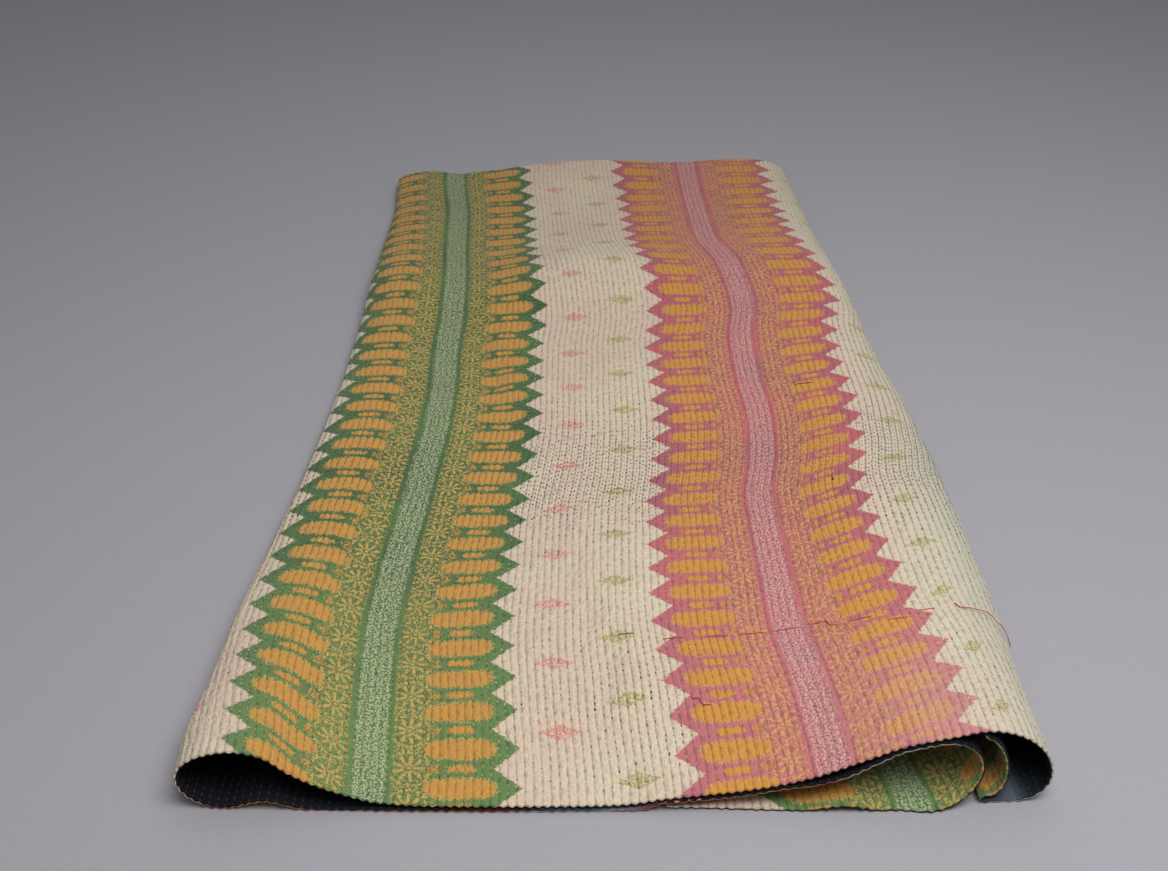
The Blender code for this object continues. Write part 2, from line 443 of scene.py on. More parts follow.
# How far each point of the cloth is pulled in by the rows of stitches
def rowDepth(places, alongs):
    row = places / stitching["rowPitch"]
    nearRow = np.cos(math.pi * (row - np.round(row))) ** 4
    uneven = 1 + 0.35 * np.sin(alongs[:, None] / 23 + 1.7 * np.round(row)[None, :])
    atHem = 1 - 0.4 * (1 - ease(0, 22, alongs[:, None]))
    return stitching["channel"] * nearRow[None, :] * uneven * atHem


def meshFromGrid(name, spots, faceOut, uvLayers, attributes, collection):
    rows, columns = spots.shape[:2]
    work = bmesh.new()
    bmesh.ops.create_grid(work, x_segments=columns - 1, y_segments=rows - 1, size=0.5)
    if faceOut:
        bmesh.ops.reverse_faces(work, faces=work.faces)
    mesh = bpy.data.meshes.new(name)
    work.to_mesh(mesh)
    work.free()
    flat = np.empty(len(mesh.vertices) * 3, np.float32)
    mesh.vertices.foreach_get("co", flat)
    flat = flat.reshape(-1, 3)
    column = np.rint((flat[:, 0] + 0.5) * (columns - 1)).astype(int)
    row = np.rint((flat[:, 1] + 0.5) * (rows - 1)).astype(int)
    mesh.vertices.foreach_set("co", (spots[row, column] * 0.001).astype(np.float32).ravel())
    corners = np.empty(len(mesh.loops), int)
    mesh.loops.foreach_get("vertex_index", corners)
    for layerName, (u, v) in uvLayers.items():
        layer = mesh.uv_layers.new(name=layerName)
        pairs = np.stack([u[row, column], v[row, column]], axis=1)[corners] * 0.001
        layer.data.foreach_set("uv", pairs.astype(np.float32).ravel())
    for attributeName, values in attributes.items():
        attribute = mesh.attributes.new(attributeName, "FLOAT", "POINT")
        attribute.data.foreach_set("value", values[row, column].astype(np.float32))
    mesh.shade_smooth()
    mesh.update()
    piece = bpy.data.objects.new(name, mesh)
    collection.objects.link(piece)
    return piece


# Distance from the middle of the nearest printed band, and whether that band is the rose one
def bandFields(prints, bands):
    middles = np.array([middle for middle, rose in bands])
    kinds = np.array([rose for middle, rose in bands], float)
    away = abs(prints[..., None] - middles)
    nearest = away.argmin(axis=-1)
    return np.take_along_axis(away, nearest[..., None], axis=-1)[..., 0], kinds[nearest]


print("folding the sheet")
alongs, places, grid, prints, bands = buildGrid()
planCentre = planMiddle(grid)
grid -= planCentre
middleShift = planCentre[0]
out, back = gridFrames(grid)
depth = rowDepth(places, alongs)
halfCloth = sheet["cloth"] / 2
lowest = 0.15


def liftedOff(spots):
    spots[..., 2] = np.maximum(spots[..., 2], lowest)
    return spots


faceSpots = liftedOff(grid + out * (halfCloth - depth)[..., None])
backSpots = liftedOff(grid - out * (halfCloth - 0.3 * depth)[..., None])
bandAway, bandRose = bandFields(prints, bands)
alongGrid = np.repeat(alongs[:, None], len(places), axis=1)
placeGrid = np.repeat(places[None, :], len(alongs), axis=0)

collection = bpy.data.collections.new("kanthaQuilt")
bpy.context.scene.collection.children.link(collection)


# Where the print lies on the draped cloth: it is drawn aslant on the outer half of both bands near
# the hem, and on the right it is also narrower, as far as the middle of the quilt.
drapedPrint = {
    "tips": 124.0,           # from the middle of a band
    "slant": 0.24,           # drawn along for each millimetre across
    "steep": 0.60,           # the same past the tips, near the hem
    "nearer": 26.0,          # how far the turn of the slant moves in past the near hem
    "squeeze": 0.8,          # of the cream past the tips, near the hem
    "narrow": 0.12,          # of the whole band, past the near hem
    "leftReach": 140.0,
    "rightReach": 215.0,
}


def drawnPrint(across, away, along):
    d = drapedPrint
    rose = bands[1][0]
    green = bands[2][0]
    leftSide = (across > green) & (across < green + d["leftReach"])
    rightSide = (across < rose) & (across > rose - d["rightReach"])
    past = ease(150, 300, along)
    leftShift = d["slant"] * np.clip(d["tips"] - away, 0, None) * (1 - ease(60, 430, along))
    turnsAt = d["tips"] - d["nearer"] * past
    slope = np.where(away < turnsAt, d["slant"], d["steep"] - (d["steep"] - d["slant"]) * past)
    rightShift = slope * (turnsAt - away) * (1 - ease(450, 800, along))
    narrower = (1 - past) * d["squeeze"] * np.clip(away - d["tips"], 0, None) + past * d["narrow"] * away
    narrower = narrower * (1 - ease(600, 850, along))
    return away + rightSide * narrower, along + leftSide * leftShift + rightSide * rightShift


def clothPiece(name, spots, faceOut, away, rose, across, place, along):
    layers = {"band": drawnPrint(across, away, along), "sheet": (across, along), "rows": (place, along)}
    return meshFromGrid(name, spots, faceOut, layers, {"rose": rose}, collection)


print("laying the face cloth and the back cloth")
faceCloth = clothPiece("faceCloth", faceSpots, True, bandAway, bandRose, prints, placeGrid, alongGrid)
everySecond = slice(None, None, 2)      # the back is hardly seen, so half the cross lines are enough
backCloth = clothPiece("backCloth", backSpots[everySecond], False, bandAway[everySecond],
                       bandRose[everySecond], prints[everySecond], placeGrid[everySecond],
                       alongGrid[everySecond])


# A rolled hem: half a round from the printed face over the edge to the back cloth.
# outward is the way that the hem faces, and pinch says where a row of stitches draws it in.
hemLook = {
    "steps": 6,
    "scallop": 0.28,         # how much a row of stitches pinches the hem
    "drawIn": 1.2,           # how far a row pulls the edge back
}


def hemPiece(name, face, backFace, outward, normal, pinch, uvRows, faceOut):
    spots = []
    over = []
    steps = hemLook["steps"]
    middle = (face + backFace) / 2
    reach = np.linalg.norm(face - backFace, axis=1, keepdims=True) / 2
    for k in range(steps + 1):
        angle = math.pi * k / steps
        bulge = math.sin(angle)
        width = reach * (1 - hemLook["scallop"] * bulge * pinch[:, None])
        spot = (middle + normal * reach * math.cos(angle) + outward * width * bulge
                - outward * (hemLook["drawIn"] * bulge * pinch[:, None]))
        spots.append(spot)
        over.append(k / steps * math.pi * halfCloth)
    spots = liftedOff(np.array(spots))
    away, rose, across, place, along = [np.repeat(values[None, :], steps + 1, axis=0) for values in uvRows]
    along = along - np.array(over)[:, None]
    piece = clothPiece(name, spots, faceOut, away, rose, across, place, along)
    rank = np.array([face.vertices[0] for face in piece.data.polygons]) // spots.shape[1]
    piece.data.polygons.foreach_set("material_index", (rank >= steps // 2).astype(np.int32))
    return piece


def edgeFields(pick):
    return [values[pick] for values in (bandAway, bandRose, prints, placeGrid, alongGrid)]


rowPhase = places / stitching["rowPitch"]
pinchRow = np.cos(math.pi * (rowPhase - np.round(rowPhase))) ** 2
everywhere = slice(None)
hems = []
for name, row, sign in (("nearHem", 0, -1.0), ("farHem", -1, 1.0)):
    pick = (row, everywhere)
    hems.append(hemPiece(name, faceSpots[pick], backSpots[pick], back[pick] * sign, out[pick],
                         pinchRow, edgeFields(pick), sign < 0))
pinchSide = 0.5 + 0.5 * np.sin(alongs * 2 * math.pi / stitching["period"])
crossDirection = np.cross(out, back)
for name, column, sign in (("sideHem", 0, 1.0), ("innerHem", -1, -1.0)):
    pick = (everywhere, column)
    hems.append(hemPiece(name, faceSpots[pick], backSpots[pick], crossDirection[pick] * sign,
                         out[pick], pinchSide, edgeFields(pick), sign > 0))


# Values of a grid between its rows and columns
def readGrid(values, row, column):
    low = np.floor(row).astype(int).clip(0, values.shape[0] - 2)
    left = np.floor(column).astype(int).clip(0, values.shape[1] - 2)
    t = (row - low)[:, None]
    s = (column - left)[:, None]
    return ((values[low, left] * (1 - t) + values[low + 1, left] * t) * (1 - s)
            + (values[low, left + 1] * (1 - t) + values[low + 1, left + 1] * t) * s)


# Small four-sided lozenges of thread. shades are the values that their material reads.
def threadMesh(name, ends, others, lefts, rights, tops, shades, collection):
    work = bmesh.new()
    layers = [work.verts.layers.float.new(shade) for shade in shades]
    for points in zip(ends, lefts, others, rights, tops, *shades.values()):
        verts = [work.verts.new(point) for point in points[:5]]
        for vert in verts:
            for layer, value in zip(layers, points[5:]):
                vert[layer] = value
        for k in range(4):
            work.faces.new((verts[(k + 1) % 4], verts[k], verts[4]))
    mesh = bpy.data.meshes.new(name)
    work.to_mesh(mesh)
    work.free()
    piece = bpy.data.objects.new(name, mesh)
    collection.objects.link(piece)
    return piece


def slowNoise(across, along, seed):
    waves = np.random.default_rng(seed)
    total = np.zeros_like(across)
    for k in range(7):
        a, b = waves.uniform(0.004, 0.020, 2) * waves.choice((-1, 1), 2)
        total += np.sin(across * a + along * b + waves.uniform(0, 6.28))
    return total / 3.7


def runningStitches():
    firstRow = math.ceil(stitching["firstPlace"] / stitching["rowPitch"])
    rose = bands[1][0]
    green = bands[2][0]
    lastRow = int((green + printing["leftSide"] + stitching["pastLeft"]) / stitching["rowPitch"])
    across = []
    starts = []
    extra = []
    for row in np.arange(firstRow, lastRow, 0.5):
        count = int(sheet["length"] / stitching["period"]) - 1
        steps = stitching["period"] * (1 + 0.10 * random.standard_normal(count))
        begin = 1.5 + stitching["period"] * random.uniform() + np.cumsum(steps)
        begin = begin[begin < sheet["length"] - 8]
        if row % 1:
            busy = bell(begin, stitching["busyAlong"], stitching["busyHalf"])
            busy = busy * (1 - ease(green - 130, green - 95, row * stitching["rowPitch"]))
            begin = begin[1.3 * busy > random.uniform(size=len(begin))]
        extra.append(np.full(len(begin), row % 1 * 2))
        across.append(np.full(len(begin), row * stitching["rowPitch"])
                      + 0.35 * random.standard_normal(len(begin)))
        starts.append(begin)
    across = np.concatenate(across)
    starts = np.concatenate(starts)
    proud = stitching["proud"] * (1 - 0.4 * np.concatenate(extra))[:, None]
    spans = stitching["period"] * stitching["share"] * (1 + 0.18 * random.standard_normal(len(starts)))
    column = np.interp(across, places, np.arange(len(places)))
    rowA = np.interp(starts, alongs, np.arange(len(alongs)))
    rowB = np.interp(starts + spans, alongs, np.arange(len(alongs)))
    normal = readGrid(out, rowA, column)
    lift = normal * 0.10
    ends = readGrid(faceSpots, rowA, column) - lift
    others = readGrid(faceSpots, rowB, column) - lift
    middle = (ends + others) / 2
    side = np.cross(normal, others - ends)
    side /= np.linalg.norm(side, axis=1, keepdims=True)
    raised = normal * proud * 0.55
    side *= stitching["halfWidth"] * (1 + 0.2 * random.standard_normal(len(starts)))[:, None]
    tops = middle + normal * (proud + 0.1)
    region = dyeRegion(across - rose, starts)
    patchy = slowNoise(across, starts, 3)
    dyed = region + 0.22 * patchy + 0.22 * random.standard_normal(len(starts))
    # threads over the printed bands have taken up the dye of the print
    away = readGrid(bandAway[..., None], rowA, column)[:, 0]
    printed = 1 - ease(100, 118, away)
    dyed = np.clip(dyed, 0, 1)
    corners = [ends, others, middle + side + raised, middle - side + raised, tops]
    corners = [liftedOff(spots) * 0.001 for spots in corners]
    return threadMesh("runningStitches", *corners, {"dyed": dyed, "printed": printed}, collection)


# The thread has kept its dye in the middle of the quilt and beside the right fold
def dyeRegion(fromRose, along):
    middle = bell(along, 445, 230)
    right = 1 - ease(-160, -60, fromRose)
    return 0.25 + 0.82 * middle + 0.30 * right * bell(along, 420, 560) - 0.20 * ease(650, 1000, along)


# Loose and mending threads on the top layer: each path is a row of (across, along, height above
# the cloth)
thread = {"radius": 0.42, "sides": 5, "endShare": 0.35}
mending = {
    "red": (
        ((44, 176, 0.2), (54, 177, 0.5), (64, 176, 0.2)),
        ((82, 176, 0.2), (92, 175, 0.5), (102, 176, 0.2)),
        ((112, 175, 0.2), (124, 176, 0.5), (136, 175, 0.2)),
        ((144, 175, 0.2), (156, 176, 0.5), (166, 175, 0.2)),
        ((176, 175, 0.2), (188, 172, 0.5), (198, 170, 0.2)),
        ((208, 168, 0.2), (220, 166, 0.6), (228, 166, 0.2)),
        ((240, 163, 0.2), (250, 162, 0.5), (258, 163, 0.2)),
        ((266, 166, 0.2), (282, 170, 0.3)),
        ((300, 172, 0.2), (309, 170, 2.0), (325, 167, 3.5), (338, 158, 4.0), (346, 149, 2.0)),
        ((64, 102, 0.2), (72, 94, 1.4), (80, 88, 0.3)),
    ),
    "navy": (
        ((219, 597, 0.2), (226, 599, 0.6), (238, 596, 0.2)),
        ((229, 395, 0.3), (231, 399, 0.8), (230, 404, 0.3)),
    ),
    "brown": (
        ((4, 183, 0.2), (11, 181, 0.6), (19, 182, 0.2)),
    ),
}


# Spot on the printed face of the top layer, and the way out of the cloth there
def topSpot(across, along):
    row = int(np.interp(along, alongs, np.arange(len(alongs))))
    first = int(np.argmax(grid[row, :, 0]))
    last = int(np.argmin(grid[row, :, 0]))
    column = first + int(np.argmin(abs(grid[row, first:last, 0] + middleShift - across)))
    return faceSpots[row, column], out[row, column]


def threadTube(name, paths, collection):
    radius = thread["radius"]
    sides = thread["sides"]
    work = bmesh.new()
    for path in paths:
        knots = np.array(path, float)
        along = np.linspace(0, len(knots) - 1, 8 * len(knots))
        fine = np.stack([np.interp(along, np.arange(len(knots)), knots[:, k]) for k in range(3)], axis=1)
        spots = []
        for across, place, height in fine:
            spot, normal = topSpot(across, place)
            spots.append(spot + normal * (height + 0.1))
        spots = np.array(spots)
        for k in range(3):
            spots[1:-1] = (spots[:-2] + 2 * spots[1:-1] + spots[2:]) / 4
        ahead = np.gradient(spots, axis=0)
        ahead /= np.linalg.norm(ahead, axis=1, keepdims=True)
        side = np.cross(ahead, (0, 0, 1))
        side /= np.linalg.norm(side, axis=1, keepdims=True)
        rise = np.cross(side, ahead)
        rings = []
        for k in range(len(spots)):
            slim = thread["endShare"] if k in (0, len(spots) - 1) else 1.0
            ring = []
            for corner in range(sides):
                turned = 2 * math.pi * corner / sides
                reach = side[k] * math.cos(turned) + rise[k] * math.sin(turned)
                ring.append(work.verts.new((spots[k] + reach * radius * slim) * 0.001))
            rings.append(ring)
        for ring, following in zip(rings, rings[1:]):
            for corner in range(sides):
                after = (corner + 1) % sides
                work.faces.new((ring[corner], ring[after], following[after], following[corner]))
        work.faces.new(rings[0])
        work.faces.new(rings[-1])
    bmesh.ops.recalc_face_normals(work, faces=work.faces)
    mesh = bpy.data.meshes.new(name)
    work.to_mesh(mesh)
    work.free()
    mesh.shade_smooth()
    piece = bpy.data.objects.new(name, mesh)
    collection.objects.link(piece)
    return piece


print("sewing the running stitches")
runningStitchesPiece = runningStitches()
print("stitch faces", len(runningStitchesPiece.data.polygons))
mendingPieces = {dye: threadTube(dye + "Thread", paths, collection) for dye, paths in mending.items()}


# sRGB hex to the linear colour that shaders take
def hexColour(text):
    channels = [int(text[k:k + 2], 16) / 255 for k in (1, 3, 5)]
    linear = [c / 12.92 if c <= 0.04045 else ((c + 0.055) / 1.055) ** 2.4 for c in channels]
    return (*linear, 1.0)


# Adds one shader node. Inputs are numbers, colours or other nodes' outputs, in the node's own order.
def wire(tree, kind, *inputs, output=0, **settings):
    node = tree.nodes.new("ShaderNode" + kind)
    for name, value in settings.items():
        setattr(node, name, value)
    for slot, value in enumerate(inputs):
        if value is None:
            continue
        if isinstance(value, bpy.types.NodeSocket):
            tree.links.new(value, node.inputs[slot])
        else:
            node.inputs[slot].default_value = value
    return node.outputs[output]


def newMaterial(name, roughness, specular=0.5):
    material = bpy.data.materials.new(name)
    material.use_nodes = True
    tree = material.node_tree
    shader = tree.nodes["Principled BSDF"]
    shader.inputs["Roughness"].default_value = roughness
    shader.inputs["Specular IOR Level"].default_value = specular
    return material, tree, shader, partial(wire, tree)


# One of the piece's UV maps, in millimetres or in steps of so many millimetres
def mapField(tree, name, step=(1, 1)):
    spots = wire(tree, "UVMap", uv_map=name)
    return wire(tree, "VectorMath", spots, (1000 / step[0], 1000 / step[1], 0), operation="MULTIPLY")


# Noise drawn out to the given sizes across and along
def threadNoise(tree, field, across, along, detail, roughness):
    stretched = wire(tree, "Mapping", field, None, None, (1 / across, 1 / along, 1))
    return wire(tree, "TexNoise", stretched, None, 1.0, detail, roughness)


# 1 inside an oval with full shoulders. shape is its middle across, then its half sizes.
def ovalMask(tree, field, shape, soft):
    middle, across, along = shape
    scaled = wire(tree, "Mapping", field, (-middle / across, 0, 0), None, (1 / across, 1 / along, 0))
    size = wire(tree, "VectorMath", scaled, operation="ABSOLUTE")
    square = wire(tree, "VectorMath", size, size, operation="MULTIPLY")
    cube = wire(tree, "VectorMath", square, size, output=1, operation="DOT_PRODUCT")
    return wire(tree, "MapRange", cube, 1 + soft, 1 - soft, 0.0, 1.0, interpolation_type="SMOOTHSTEP")


# 1 where a value is below the edge, with a soft step
def belowMask(tree, value, edge, soft):
    gap = wire(tree, "Math", edge, value, operation="SUBTRACT")
    return wire(tree, "MapRange", gap, -soft, soft, 0.0, 1.0, interpolation_type="SMOOTHSTEP")


printColours = {
    "green": "#4c6f3f",
    "greenDeep": "#3d5c3b",
    "greenWashed": "#708c55",
    "rose": "#bb6066",
    "roseDeep": "#a45a68",
    "roseWashed": "#bb7478",
    "yellow": "#bd8c45",
    "yellowOnRose": "#c48a40",
    "grainYellow": "#b79c58",
    "grainYellowOnRose": "#c4935c",
    "grainOnGreen": "#a3ad8b",
    "grainOnRose": "#c59d9a",
    "cream": "#cdc0a9",
    "creamWarm": "#cab5a2",
    "creamCoolShaded": "#b0b19f",
    "roseFaded": "#c39089",
    "coral": "#cb7f78",
    "olive": "#98974f",
    "shade": "#4a3c33",
}
printSizes = {
    "tooth": 39.5,           # from one saw tooth to the next
    "firstTip": 16.0,        # first tooth tip from the near hem
    "roseLag": 16.5,         # how much nearer the rose teeth lie
    "valley": 102.0,         # band edge from its middle, between teeth
    "tip": 124.0,
    "coralPlace": 70.0,      # first small motif of each column from the near hem
    "olivePlace": 20.0,
    "grainStripe": 13.6,     # half width of the pale stripe
    "solidLine": 19.0,
    "grain": 2.3,            # size of the small printed grains
    "fray": (10.0, 14.0),    # how far the threads carry an edge, across and along
    # printed ovals: place of the middle from the band's own, then half sizes across and along
    "bigOval": (74, 28.5, 9.8),
    "fringe": (74, 30.5, 11.6),
    "smallOval": (75, 12, 3.9),
    "patch": (53, 4.5, 4.0),
    "blob": (47, 2.2, 5.5),
    # flowers: place of the middle, petals, shortest and longest petal, eye, heart, ring of lace
    "flower": 32.0,
    "petals": 9.0,
    "petalEnds": (5.0, 13.5),
    "petalTrim": 2.5,
    "eye": 3.2,
    "heart": 1.6,
    "lace": (15.3, 18.5),
    "laceZone": (58.0, 46.0),
    # lozenges on the cream: their column on a green and on a rose band, half sizes
    "column": (158.0, 155.0),
    "lozenge": (19.0, 8.5),
}


# Block-printed cotton lawn, washed soft: matt, with flat colours whose edges fray along the
# threads, so the eye sees a slightly ragged print on a fine cloth that stitching has puckered.
def printedCotton():
    c = {name: hexColour(value) for name, value in printColours.items()}
    p = printSizes
    material, tree, shader, add = newMaterial("printedCotton", 0.9, 0.22)
    rose = add("Attribute", attribute_name="rose", output=2)
    band = mapField(tree, "band")
    cloth = mapField(tree, "sheet")
    awayClean = add("SeparateXYZ", band, output=0)
    alongClean = add("SeparateXYZ", band, output=1)

    # threads fray each printed edge: fine steps along the cloth, longer ones across it
    weft = threadNoise(tree, cloth, 16, 1.5, 2.0, 0.6)
    warp = threadNoise(tree, cloth, 1.5, 7, 2.0, 0.6)
    fray = add("CombineXYZ", weft, warp, 0.0)
    frayShift = add("VectorMath", fray, (0.5, 0.5, 0), operation="SUBTRACT")
    frayed = add("VectorMath", frayShift, (*p["fray"], 0), band, operation="MULTIPLY_ADD")
    away = add("SeparateXYZ", frayed, output=0)
    along = add("SeparateXYZ", frayed, output=1)

    # distance from the nearest line of tooth tips, and from the nearest valley line
    half = p["tooth"] / 2
    tipPlace = add("MapRange", rose, 0.0, 1.0, p["firstTip"], p["firstTip"] - p["roseLag"])
    pastTip = add("Math", along, tipPlace, operation="SUBTRACT")
    fromTip = add("Math", pastTip, half, operation="PINGPONG")
    pastTip = add("Math", alongClean, tipPlace, operation="SUBTRACT")
    fromTipClean = add("Math", pastTip, half, operation="PINGPONG")
    fromValley = add("Math", half, fromTip, operation="SUBTRACT")
    tipField = add("CombineXYZ", away, fromTip, 0.0)
    valleyField = add("CombineXYZ", away, fromValley, 0.0)

    # saw edge of the band
    edge = add("MapRange", fromTipClean, 0.0, half, p["tip"], p["valley"])
    inBand = belowMask(tree, away, edge, 1.0)

    # printed ovals
    bigOval = ovalMask(tree, tipField, p["bigOval"], 0.10)
    fringe = ovalMask(tree, tipField, p["fringe"], 0.12)
    fringe = add("Math", fringe, bigOval, operation="SUBTRACT", use_clamp=True)
    smallOval = ovalMask(tree, valleyField, p["smallOval"], 0.2)
    patch = ovalMask(tree, valleyField, p["patch"], 0.3)
    blob = ovalMask(tree, valleyField, p["blob"], 0.3)

    # flowers beside the pale stripe, each in a ring of lace between two teeth
    flowerAcross = add("Math", awayClean, p["flower"], operation="SUBTRACT")
    flowerAlong = add("Math", fromTipClean, half, operation="SUBTRACT")
    flowerField = add("CombineXYZ", flowerAcross, flowerAlong, 0.0)
    flowerReach = add("VectorMath", flowerField, output=1, operation="LENGTH")
    flowerTurn = add("Math", flowerAlong, flowerAcross, operation="ARCTAN2")
    petals = add("Math", flowerTurn, p["petals"], operation="MULTIPLY")
    petals = add("Math", petals, operation="COSINE")
    petalEnd = add("MapRange", petals, -0.4, 0.6, *p["petalEnds"], interpolation_type="SMOOTHSTEP")
    raggedEnd = add("Math", warp, 5.0, operation="MULTIPLY")
    petalEnd = add("Math", raggedEnd, petalEnd, operation="ADD")
    petalEnd = add("Math", petalEnd, p["petalTrim"], operation="SUBTRACT")
    flower = belowMask(tree, flowerReach, petalEnd, 1.6)
    eye = belowMask(tree, flowerReach, p["eye"], 0.6)
    heart = belowMask(tree, flowerReach, p["heart"], 0.5)
    flower = add("Math", flower, eye, operation="SUBTRACT", use_clamp=True)
    flower = add("Math", flower, heart, operation="MAXIMUM")
    laceInner, laceOuter = [belowMask(tree, flowerReach, reach, 0.8) for reach in p["lace"]]
    laceRing = add("Math", laceOuter, laceInner, operation="SUBTRACT", use_clamp=True)

    # small grains, closer inside the rosettes and the lace
    grainField = add("Mapping", cloth, None, None, (1 / p["grain"], 1 / p["grain"], 1))
    grainCells = add("TexVoronoi", grainField, None, 1.0, voronoi_dimensions="2D")

    def inGrains(mask, limit, soft):
        return add("Math", mask, belowMask(tree, grainCells, limit, soft), operation="MULTIPLY")

    laceZone = add("MapRange", away, *p["laceZone"], 0.0, 1.0, interpolation_type="SMOOTHSTEP")
    limit = add("MapRange", laceRing, 0.0, 1.0, 0.32, 0.50)
    innerLimit = add("Math", laceInner, 0.14, operation="MULTIPLY")
    limit = add("Math", limit, innerLimit, operation="SUBTRACT")
    grains = inGrains(laceZone, limit, 0.08)
    grains = add("Math", grains, inGrains(flower, 0.66, 0.10), operation="MAXIMUM")
    outsideLine = belowMask(tree, p["solidLine"], away, 0.8)
    grains = add("Math", grains, outsideLine, operation="MULTIPLY")
    grains = add("Math", grains, inGrains(fringe, 0.46, 0.1), operation="MAXIMUM")
    yellowMask = add("Math", bigOval, smallOval, operation="MAXIMUM")
    yellowMask = add("Math", yellowMask, inGrains(patch, 0.5, 0.06), operation="MAXIMUM")
    stripeMask = inGrains(belowMask(tree, away, p["grainStripe"], 1.0), 0.41, 0.12)

    # dye taken unevenly, and washed out towards the near hem
    cloud = add("TexNoise", cloth, None, 0.012, 3.0, 0.6)
    cloudStep = add("MapRange", cloud, 0.35, 0.65, 0.0, 1.0)
    washed = add("MapRange", alongClean, 60.0, 420.0, 0.55, 0.0, interpolation_type="SMOOTHSTEP")
    dyes = []
    for dye in ("green", "rose"):
        uneven = add("MixRGB", cloudStep, c[dye], c[dye + "Deep"])
        dyes.append(add("MixRGB", washed, uneven, c[dye + "Washed"]))
    ground = add("MixRGB", rose, *dyes)
    yellow = add("MixRGB", rose, c["yellow"], c["yellowOnRose"])
    paleYellow = add("MixRGB", rose, c["grainYellow"], c["grainYellowOnRose"])
    stripeGrain = add("MixRGB", rose, c["grainOnGreen"], c["grainOnRose"])
    blobShade = add("Math", blob, 0.25, operation="MULTIPLY")
    inked = add("MixRGB", grains, ground, paleYellow)
    inked = add("MixRGB", yellowMask, inked, yellow)
    inked = add("MixRGB", stripeMask, inked, stripeGrain)
    inked = add("MixRGB", blobShade, inked, c["shade"])

    # small dotted lozenges on the cream, on every second valley, one tooth apart in the two columns
    columnPlace = add("MapRange", rose, 0.0, 1.0, *p["column"])
    fromColumn = add("Math", awayClean, columnPlace, operation="SUBTRACT")
    fromColumn = add("Math", fromColumn, operation="ABSOLUTE")
    start = add("MapRange", rose, 0.0, 1.0, p["coralPlace"], p["olivePlace"])
    motifAlong = add("Math", alongClean, start, operation="SUBTRACT")
    motifAlong = add("Math", motifAlong, p["tooth"], operation="PINGPONG")
    lozengeX = add("Math", fromColumn, p["lozenge"][0], operation="DIVIDE")
    lozengeY = add("Math", motifAlong, p["lozenge"][1], operation="DIVIDE")
    lozenge = add("Math", lozengeX, lozengeY, operation="ADD")
    lozenge = inGrains(belowMask(tree, lozenge, 1.0, 0.12), 0.50, 0.1)
    lozenge = add("Math", lozenge, 0.85, operation="MULTIPLY")
    motifColour = add("MixRGB", rose, c["coral"], c["olive"])
    warmth = add("TexNoise", cloth, None, 0.006, 4.0, 0.55)
    warmth = add("MapRange", warmth, 0.38, 0.62, 0.0, 1.0)
    creamMix = add("MixRGB", warmth, c["cream"], c["creamWarm"])

    # the near right corner of the rose band has faded, and run dye has cooled the cream beside it; that
    # cooler cream is also painted darker, as painted shade on the cloth beside the rose band
    rosePlace = bands[1][0]
    across = add("SeparateXYZ", cloth, output=0)
    outerSide = add("MapRange", across, rosePlace - 90, rosePlace - 5, 0.55, 0.0)
    corner = add("MapRange", alongClean, 50.0, 190.0, 1.0, 0.0, interpolation_type="SMOOTHSTEP")
    corner = add("Math", corner, rose, operation="MULTIPLY")
    faded = add("Math", outerSide, corner, operation="MULTIPLY")
    inked = add("MixRGB", faded, inked, c["roseFaded"])
    # partly painted shade: the cream beside the rose band is mixed towards a tone that is cooler for run
    # dye and darker for painted shade there
    coolAndShaded = add("MapRange", across, rosePlace - 190, rosePlace - 105, 0.85, 0.0)
    creamMix = add("MixRGB", coolAndShaded, creamMix, c["creamCoolShaded"])
    cream = add("MixRGB", lozenge, creamMix, motifColour)
    colour = add("MixRGB", inBand, cream, inked)

    # threads of the cloth, painted shade in each row of stitches, and painted shade that darkens the cloth
    # towards the far hem, where less light falls
    rowField = mapField(tree, "rows", (stitching["rowPitch"], stitching["period"]))
    rowAcross = add("SeparateXYZ", rowField, output=0)
    inRow = add("Math", rowAcross, 0.5, operation="PINGPONG")
    puckers = threadNoise(tree, rowField, 1 / 1.3, 1 / 1.1, 3.0, 0.6)
    brokenRow = add("MapRange", puckers, 0.3, 0.7, -0.12, 0.16)
    brokenRow = add("Math", brokenRow, inRow, operation="ADD")
    # painted shade in the channel of each row of stitches, broken up by the puckers
    rowPaintedShade = add("MapRange", brokenRow, 0.0, 0.24, 0.72, 1.12, interpolation_type="SMOOTHSTEP")
    slubs = threadNoise(tree, cloth, 1.4, 9, 3.0, 0.7)
    slubShade = add("MapRange", slubs, 0.3, 0.7, 0.90, 1.08)
    # painted shade: the cloth grows darker towards the far hem, for the light that falls off there
    farPaintedShade = add("MapRange", alongClean, 650.0, 1200.0, 1.0, 0.87)
    shade = add("Math", rowPaintedShade, slubShade, operation="MULTIPLY")
    shade = add("Math", shade, farPaintedShade, operation="MULTIPLY")
    shade = add("CombineXYZ", shade, shade, shade)
    colour = add("VectorMath", colour, shade, operation="MULTIPLY")
    tree.links.new(colour, shader.inputs["Base Color"])

    # puckers between the stitches, and a coarse weave that stands for the 0.3 mm threads
    weaveField = add("Mapping", cloth, None, None, (1 / 1.3, 1 / 1.3, 1))
    weave = add("TexVoronoi", weaveField, None, 1.0, None, None, None, None, None, 0.35,
                voronoi_dimensions="2D")
    weaveHeight = add("Math", weave, 0.10, operation="MULTIPLY")
    height = add("Math", puckers, weaveHeight, operation="SUBTRACT")
    bump = add("Bump", 1.0, 0.0042, None, height)
    tree.links.new(bump, shader.inputs["Normal"])
    shader.inputs["Sheen Weight"].default_value = 0.12
    shader.inputs["Sheen Roughness"].default_value = 0.5
    return material
